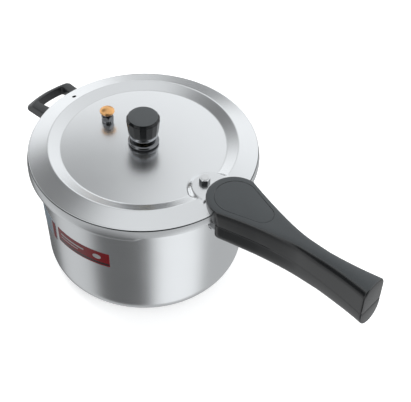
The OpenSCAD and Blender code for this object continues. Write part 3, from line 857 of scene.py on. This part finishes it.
def build_helper():
    """Loop handle: a bar whose outer side leans in, all the way round the finger opening."""
    section = [(u - 1, v) for u, v in rounded([(1, 0), (2, 0), (2, 0.29), (2, 1), (1, 1)], 0.11, 5)]
    low, high = loop_low.z, loop_high.z
    gap_x = loop_low.x + LOOP_LEAN + LOOP_BAR_W
    columns = []
    for turn in steps_between(0, 2 * math.pi, 200)[:-1]:
        inner = loop_point(turn, gap_x, GAP_IN_X, GAP_W, GAP_ROOT_W, GAP_CORNER_R)
        column = []
        for u, v in section:
            z = mix(low, high, v)
            out_x = loop_low.x + min(loop_back(z), LOOP_LEAN)
            outer = loop_point(turn, out_x, loop_high.x, loop_high.y, loop_high.y - 1, LOOP_CORNER_R)
            column.append((mix(inner[0], outer[0], u), mix(inner[1], outer[1], u), z))
        columns.append(column)
    loop = grid("helper_loop", columns, HELPER_BLACK)
    mid_z = (low + high) / 2
    for y in (-HELPER_SCREW_Y, HELPER_SCREW_Y):
        well_end = GAP_IN_X + HELPER_WELL_DEPTH
        cut(loop, lying_cylinder("well", GAP_IN_X - 1, well_end, y, mid_z, HELPER_WELL_R))
        cut(loop, lying_cylinder("bore", GAP_IN_X - 1, loop_high.x + 1, y, mid_z, SCREW_BORE_R))
    place(shade(loop, 30), "pot", "handle_black", "helper_handle")


def lying_cylinder(name, x0, x1, y, z, r):
    """Closed cylinder along X, for cutting bores."""
    ring = arc(y, z, r, 0, 345, 23)
    return grid(name, [[(x0, a, b) for a, b in ring], [(x1, a, b) for a, b in ring]], closed=False)


def box_point(turn, out_x, in_x, half_y, corner):
    """Point in the direction turn on a box between two X, with corners of one radius."""
    half_x = (in_x - out_x) / 2
    dx, dy = math.cos(turn), math.sin(turn)
    # a point on the unit square, so that the inner and outer outlines match side by side
    scale = 1 / max(abs(dx), abs(dy))
    x, y = dx * scale * half_x, dy * scale * half_y
    if abs(x) > half_x - corner and abs(y) > half_y - corner:
        centre = Vector((math.copysign(half_x - corner, x), math.copysign(half_y - corner, y)))
        x, y = centre + (Vector((x, y)) - centre).normalized() * corner
    return (out_x + in_x) / 2 + x, y


# ---- small parts ------------------------------------------------------------


GASKET_IN_R = 94.2
NUT_FLAT = 4.3
NUT_BORE_R = 3.02
NUT_TURN = 15
COLLAR_BORE_R = 5.05
COLLAR_SHADE_H = 1.6
KNOB_FACETS = 16
KNOB_LOW_R = 14.0
KNOB_DISC_SHARE = 0.87
KNOB_BRIM_DROP = 3.4
BUTTON_BORE_R = 2.52
VALVE_SEAT_H = 10
VALVE_FLAT = 5.2
VALVE_THREAD_R = 4
VALVE_SPRING_R = 3.6
VALVE_STEM_R = 2.55


def to_hexagon(angle, flat, turned_by):
    """Radius of a hexagon at an angle in radians, from its flats' distance and its turn in degrees."""
    side = (math.degrees(angle) - turned_by + 30) % 60 - 30
    return flat / math.cos(math.radians(side))


def build_gasket():
    low, r0, r1 = gasket_low.z, GASKET_IN_R, gasket_high.x
    outline = [
        (r0, low), (r1, low), (r1, low + 5), (r1 - 5.5, low + 6.3), (r0, low + 6.3), (r0, low + 4.6),
        (r1 - 3.2, low + 3.4), (r1 - 3.2, low + 2.2), (r0, low + 1.6),
    ]
    ring = turned("sealing_ring", rounded(outline, 0.5, 3), RUBBER_AND_PAINTED_SHADE, 180)
    place(shade(ring, 45), "seal", "black_rubber", "gasket")


def build_nut():
    """Hexagon nut on the tongue: flats in darkened steel as painted shade, under a turned top in the plain
    bright steel.
    """
    x = (nut_low.x + nut_high.x) / 2
    low, high = nut_low.z, nut_high.z
    point = NUT_FLAT / math.cos(math.radians(30))

    def hexagon(angle, r, z):
        worn = point - max(0, z - (high - 0.6)) * 1.1
        return r if r < NUT_FLAT * 0.9 else min(to_hexagon(angle, NUT_FLAT, NUT_TURN), worn)

    heights = [low, (low + high) / 2, high - 0.6, high - 0.4, high - 0.2, high]
    outline = [(NUT_FLAT, z) for z in heights]
    outline += [(NUT_BORE_R + 0.3, high), (NUT_BORE_R, high - 0.3), (NUT_BORE_R, low)]
    nut = turned("tongue_nut", outline, NUT_PAINTED_SHADE, 120, (x, 0), hexagon)
    # painted shade: the flats keep the darkened steel, and only the top takes the plain steel
    nut.data.materials.append(SCREW_STEEL)
    for face in nut.data.polygons:
        if face.center.z > (high - 0.5) * MM:
            face.material_index = 1
    place(shade(nut, 25), "lid", "screw_steel", "lid_handle_nut")


def build_vent_collar():
    """Low disc round the vent in darkened chrome as painted shade, with its undercut underside painted black
    as shade.
    """
    low, high, r = collar_low.z, collar_high.z, collar_high.x
    outline = [
        (COLLAR_BORE_R, low), (r - 4.2, low), (r - 2.6, low + 0.9), (r - 1.5, low + 1.9),
        (r - 1.3, low + 2.8), (r - 1.9, high - 1.0), (r - 3.2, high - 0.3), (r - 4.4, high),
        (COLLAR_BORE_R, high),
    ]
    collar = turned("vent_collar_ring", rounded(outline, 0.5, 4), PAINTED_SHADE_CHROME, 144)
    # painted shade: the lowest band of the collar takes the black rubber, for the dark underside and its
    # shadow
    collar.data.materials.append(RUBBER_AND_PAINTED_SHADE)
    for face in collar.data.polygons:
        if face.center.z < (low + COLLAR_SHADE_H) * MM:
            face.material_index = 1
    place(shade(collar, 40), "lid", "chrome", "vent_collar")


def build_knob_ring():
    low, high = ring_low.z, ring_high.z
    r_in, r_out = weight_high.x + 0.1, ring_high.x
    outline = [
        (r_in, low), (r_out - 0.9, low), (r_out - 0.2, low + 0.6), (r_out, low + 1.4),
        (r_out - 0.2, high - 0.9), (r_out - 0.5, high - 0.1), (r_in, high),
    ]
    ring = turned("knob_ring", rounded(outline, 0.35, 4), CHROME, 144)
    place(shade(ring, 40), "regulator", "chrome", "regulator_ring")


def build_knob_cap():
    """Faceted cap with a chamfer and a matt disc on top, hollow over the weight. The disc's lighter black is
    painted light.
    """
    base, top, top_r = cap_low.z, cap_high.z, cap_high.x
    disc_r = top_r * KNOB_DISC_SHARE
    brim = top - KNOB_BRIM_DROP
    step = 2 * math.pi / KNOB_FACETS

    def faceted(angle, r, z):
        """Flat facets up the side and the chamfer, which turn round at the top disc."""
        if r < KNOB_LOW_R - 1 or z > top - 0.44:
            return r
        away = (angle + step / 2) % step - step / 2
        flat = r * math.cos(step / 2) / math.cos(away)
        return mix(flat, r, clamp01((z - (top - 0.75)) / 0.3))

    inner = weight_high.x + 0.1
    outline = [(inner, base), (KNOB_LOW_R - 0.1, base), (KNOB_LOW_R, base + 0.3)]
    outline += [(mix(KNOB_LOW_R, top_r, t), mix(base, brim, t)) for t in (0.25, 0.5, 0.75, 0.97)]
    outline += [(top_r, brim + 0.3), (top_r - 0.15, brim + 0.9), (disc_r + 0.5, top - 0.75)]
    outline += [(disc_r + 0.1, top - 0.45), (disc_r - 0.4, top - 0.3), (disc_r - 1.0, top - 0.2)]
    outline += [(disc_r - 5, top - 0.04), (0, top)]
    outline += [(0, weight_high.z + 0.1), (inner, weight_high.z + 0.1)]
    cap = turned("knob_cap", outline, CAP_BLACK, KNOB_FACETS * 12, radius=faceted)
    # painted light: the top disc, which faces the bright sky, gets a lighter black than the sides
    cap.data.materials.append(CAP_TOP_PAINTED_LIGHT)
    for face in cap.data.polygons:
        if face.center.z > (top - 0.42) * MM:
            face.material_index = 1
    place(shade(cap, 15), "regulator", "cap_black", "regulator_cap")


def build_valve_button():
    base, top = button_low.z, button_high.z
    r = (button_high.x - button_low.x) / 2
    outline = [
        (BUTTON_BORE_R, base), (r - 1.2, base), (r - 0.3, base + 0.3), (r, base + 1.0),
        (r - 0.1, base + 1.8), (r * 0.82, base + 2.9), (r * 0.6, base + 3.7), (r * 0.35, top - 0.2),
        (0, top), (0, base + 2), (BUTTON_BORE_R, base + 2),
    ]
    button = turned("valve_button", rounded(outline, 0.5, 4), COPPER, 96, VALVE_AT)
    place(shade(button, 45), "valve_plunger", "copper", "safety_valve_cap")


def build_valve_body():
    """Thread, seat flange, worn hexagon and upper collar, hollow for the stem and its spring."""
    low, high, flat = valve_low.z, valve_high.z, VALVE_FLAT
    seat = low + VALVE_SEAT_H
    point = flat / math.cos(math.radians(30))

    def hexagon(angle, r, z):
        if not (seat + 2.2 < z < seat + 7.2 and r > flat - 0.05):
            return r
        worn = max(0, (seat + 3.0) - z) * 0.7 + max(0, z - (seat + 6.4)) * 0.7
        return min(to_hexagon(angle, flat, 0), point - worn)

    outline = [(VALVE_SPRING_R, low), (VALVE_THREAD_R, low), (VALVE_THREAD_R, seat), (5.4, seat)]
    outline += [(5.6, seat + 0.4), (5.6, seat + 1.6), (5.2, seat + 2.0)]
    outline += [(flat, seat + z) for z in (2.3, 2.6, 3.0, 4.7, 6.4, 6.8, 7.1)]
    outline += [(4.5, seat + 7.4), (4.5, seat + 8.0), (5.1, seat + 8.3), (5.3, seat + 8.6)]
    outline += [(5.3, high - 0.5), (5.0, high), (VALVE_STEM_R, high)]
    outline += [(VALVE_STEM_R, seat + 5), (VALVE_SPRING_R, seat + 5)]
    # painted shade: the valve body takes the darkened chrome
    body = turned("valve_body", outline, PAINTED_SHADE_CHROME, 96, VALVE_AT, hexagon)
    place(shade(body, 25), "lid", "chrome", "safety_valve_body")


def dress_cad_nodes():
    """Materials for the CAD nodes that stay, and a fine bevel on the pressed brackets."""
    looks = {
        "bracket_steel": BRACKET_STEEL,
        "screw_steel": SCREW_STEEL,
        "weight_steel": WEIGHT_STEEL,
        "brass": BRASS,
        "black_rubber": RUBBER_AND_PAINTED_SHADE,
    }
    slots = {part["node"]: part["material_slot"] for part in frame["record"]["subparts"]}
    for name, obj in frame["nodes"].items():
        if obj.hide_render:
            continue
        obj.data.materials.clear()
        obj.data.materials.append(looks[slots[name]])
    for name in ("helper_bracket", "body_handle_bracket"):
        bevel = frame["nodes"][name].modifiers.new("soft_edges", "BEVEL")
        bevel.width = 0.4 * MM
        bevel.segments = 2
        bevel.limit_method = "ANGLE"


# ---- studio -----------------------------------------------------------------

CAMERA_AZIMUTH = 46.0
CAMERA_ELEVATION = 43.98
CAMERA_DISTANCE = 946.1
CAMERA_LOOK_Z = 113.28
CAMERA_YAW = 4.98
CAMERA_PITCH = 46.16
CAMERA_ROLL = 2.1
CAMERA_LENS = 87.59


def build_camera():
    data = bpy.data.cameras.new("camera")
    data.lens = CAMERA_LENS
    data.sensor_width = 36
    data.clip_start = 0.05
    data.clip_end = 50
    camera = bpy.data.objects.new("camera", data)
    bpy.context.scene.collection.objects.link(camera)
    rise, yaw, pitch, roll = (
        math.radians(a) for a in (CAMERA_ELEVATION, CAMERA_YAW, CAMERA_PITCH, CAMERA_ROLL)
    )
    spot = Vector((0, -CAMERA_DISTANCE * math.cos(rise), CAMERA_LOOK_Z + CAMERA_DISTANCE * math.sin(rise)))
    ahead = Vector((math.sin(yaw) * math.cos(pitch), math.cos(yaw) * math.cos(pitch), -math.sin(pitch)))
    right = Vector((math.cos(yaw), -math.sin(yaw), 0))
    up = right.cross(ahead)
    right, up = (
        right * math.cos(roll) + up * math.sin(roll),
        up * math.cos(roll) - right * math.sin(roll),
    )
    axes = Matrix((right, up, -ahead)).transposed().to_4x4()
    swing = Matrix.Rotation(math.radians(CAMERA_AZIMUTH), 4, "Z")
    camera.matrix_world = swing @ Matrix.Translation(spot * MM) @ axes
    bpy.context.scene.camera = camera


# Soft dark and bright panels of the studio, seen only as reflections: the direction in the
# frame that the camera looks along (right, away, up), the angles in degrees where a panel is
# full and where it ends, and its brightness.
STUDIO_PANELS = [
    ((-0.48, 0.45, 0.75), 8, 28, 0.16),
    ((0.22, 0.97, 0.11), 3, 14, 0.18),
    ((-0.01, 0.99, 0.15), 3, 7, 0.02),
    ((0.30, 0.15, 0.94), 0, 30, 0.78),
    ((-0.12, 0.65, 0.75), 0, 12, 0.32),
    ((-0.96, -0.24, 0.12), 14, 28, 0.05),
    ((-0.33, -0.52, -0.79), 10, 30, 0.13),
    ((0.38, -0.46, -0.80), 8, 24, 1.00),
    ((0.02, 0.76, -0.65), 4, 22, 0.12),
    ((-0.35, 0.62, -0.70), 8, 24, 0.12),
    ((-0.63, 0.05, -0.77), 0, 22, 0.62),
    ((0.00, -0.93, 0.37), 31, 42, 0.03),
]
SKY_LOW, SKY_HIGH, GROUND = 1.12, 0.85, 0.48
SKY_FROM_Z, SKY_TO_Z = 0.1, 0.95
GROUND_TOP_Z = -0.25
STUDIO_TINT = (0.975, 0.99, 1.0)


def build_world():
    world = bpy.data.worlds.new("studio")
    bpy.context.scene.world = world
    world.use_nodes = True
    tree = world.node_tree
    tree.nodes.clear()
    link = tree.links.new
    coord = tree.nodes.new("ShaderNodeTexCoord")
    split = tree.nodes.new("ShaderNodeSeparateXYZ")
    link(coord.outputs["Generated"], split.inputs[0])

    def span(value, start, end, low, high):
        """Maps start-end to low-high with soft ends."""
        node = tree.nodes.new("ShaderNodeMapRange")
        node.interpolation_type = "SMOOTHSTEP"
        numbers = {"From Min": start, "From Max": end, "To Min": low, "To Max": high}
        for key, number in numbers.items():
            node.inputs[key].default_value = number
        link(value, node.inputs["Value"])
        return node.outputs["Result"]

    def blend(factor, first, second):
        node = tree.nodes.new("ShaderNodeMix")
        link(factor, node.inputs[0])
        for slot, value in ((2, first), (3, second)):
            if isinstance(value, (int, float)):
                node.inputs[slot].default_value = value
            else:
                link(value, node.inputs[slot])
        return node.outputs[0]

    sky = span(split.outputs["Z"], SKY_FROM_Z, SKY_TO_Z, SKY_LOW, SKY_HIGH)
    value = blend(span(split.outputs["Z"], GROUND_TOP_Z, 0, 0, 1), GROUND, sky)
    swing = Matrix.Rotation(math.radians(CAMERA_AZIMUTH), 3, "Z")
    for direction, full, end, brightness in STUDIO_PANELS:
        dot = tree.nodes.new("ShaderNodeVectorMath")
        dot.operation = "DOT_PRODUCT"
        dot.inputs[1].default_value = swing @ Vector(direction).normalized()
        link(coord.outputs["Generated"], dot.inputs[0])
        edge, inside = math.cos(math.radians(end)), math.cos(math.radians(full))
        value = blend(span(dot.outputs["Value"], edge, inside, 0, 1), value, brightness)

    tint = tree.nodes.new("ShaderNodeVectorMath")
    tint.operation = "SCALE"
    tint.inputs[0].default_value = STUDIO_TINT
    link(value, tint.inputs["Scale"])
    studio = tree.nodes.new("ShaderNodeBackground")
    link(tint.outputs["Vector"], studio.inputs["Color"])
    plain = tree.nodes.new("ShaderNodeBackground")
    plain.inputs["Color"].default_value = (1, 1, 1, 1)
    path = tree.nodes.new("ShaderNodeLightPath")
    choose = tree.nodes.new("ShaderNodeMixShader")
    out = tree.nodes.new("ShaderNodeOutputWorld")
    link(path.outputs["Is Camera Ray"], choose.inputs[0])
    link(studio.outputs[0], choose.inputs[1])
    link(plain.outputs[0], choose.inputs[2])
    link(choose.outputs[0], out.inputs[0])


def build_floor():
    """White floor that the camera sees, kept out of the reflections and the light on the part."""
    half = 4000
    corners = [(-half, -half, 0), (half, -half, 0), (half, half, 0), (-half, half, 0)]
    floor = make_object("floor", corners, [(0, 1, 2, 3)])
    material, tree, shader = new_material("floor_white")
    shader.inputs["Base Color"].default_value = (0.9, 0.9, 0.9, 1)
    shader.inputs["Roughness"].default_value = 0.9
    shader.inputs["Specular IOR Level"].default_value = 0.1
    shader.inputs["Emission Color"].default_value = (1, 1, 1, 1)
    shader.inputs["Emission Strength"].default_value = 0.45
    material.cycles.emission_sampling = "NONE"
    floor.data.materials.append(material)
    floor.visible_glossy = False
    floor.visible_diffuse = False
    floor.visible_shadow = False


def area_light(name, direction, distance, size, power):
    """Soft light from a direction (right, away, up) as in STUDIO_PANELS, aimed at the middle."""
    data = bpy.data.lights.new(name, "AREA")
    data.shape = "DISK"
    data.size = size * MM
    data.energy = power
    lamp = bpy.data.objects.new(name, data)
    bpy.context.scene.collection.objects.link(lamp)
    swing = Matrix.Rotation(math.radians(CAMERA_AZIMUTH), 3, "Z")
    away = swing @ Vector(direction).normalized()
    lamp.location = away * distance * MM + Vector((0, 0, 0.1))
    lamp.rotation_mode = "QUATERNION"
    lamp.rotation_quaternion = away.to_track_quat("Z", "Y")
    lamp.visible_glossy = False


def build_lights():
    area_light("key", (-0.5, 0.5, 1.0), 1600, 900, 10)
    area_light("front_fill", (0.8, -0.9, 0.35), 1500, 900, 9)


build_camera()
build_pot()
build_bands()
build_lid()
build_handle_upper()
build_handle_panel()
build_handle_lower()
build_helper()
build_gasket()
build_nut()
build_vent_collar()
build_knob_ring()
build_knob_cap()
build_valve_button()
build_valve_body()
dress_cad_nodes()
build_world()
build_lights()
build_floor()

bpy.context.scene.view_settings.view_transform = "Standard"
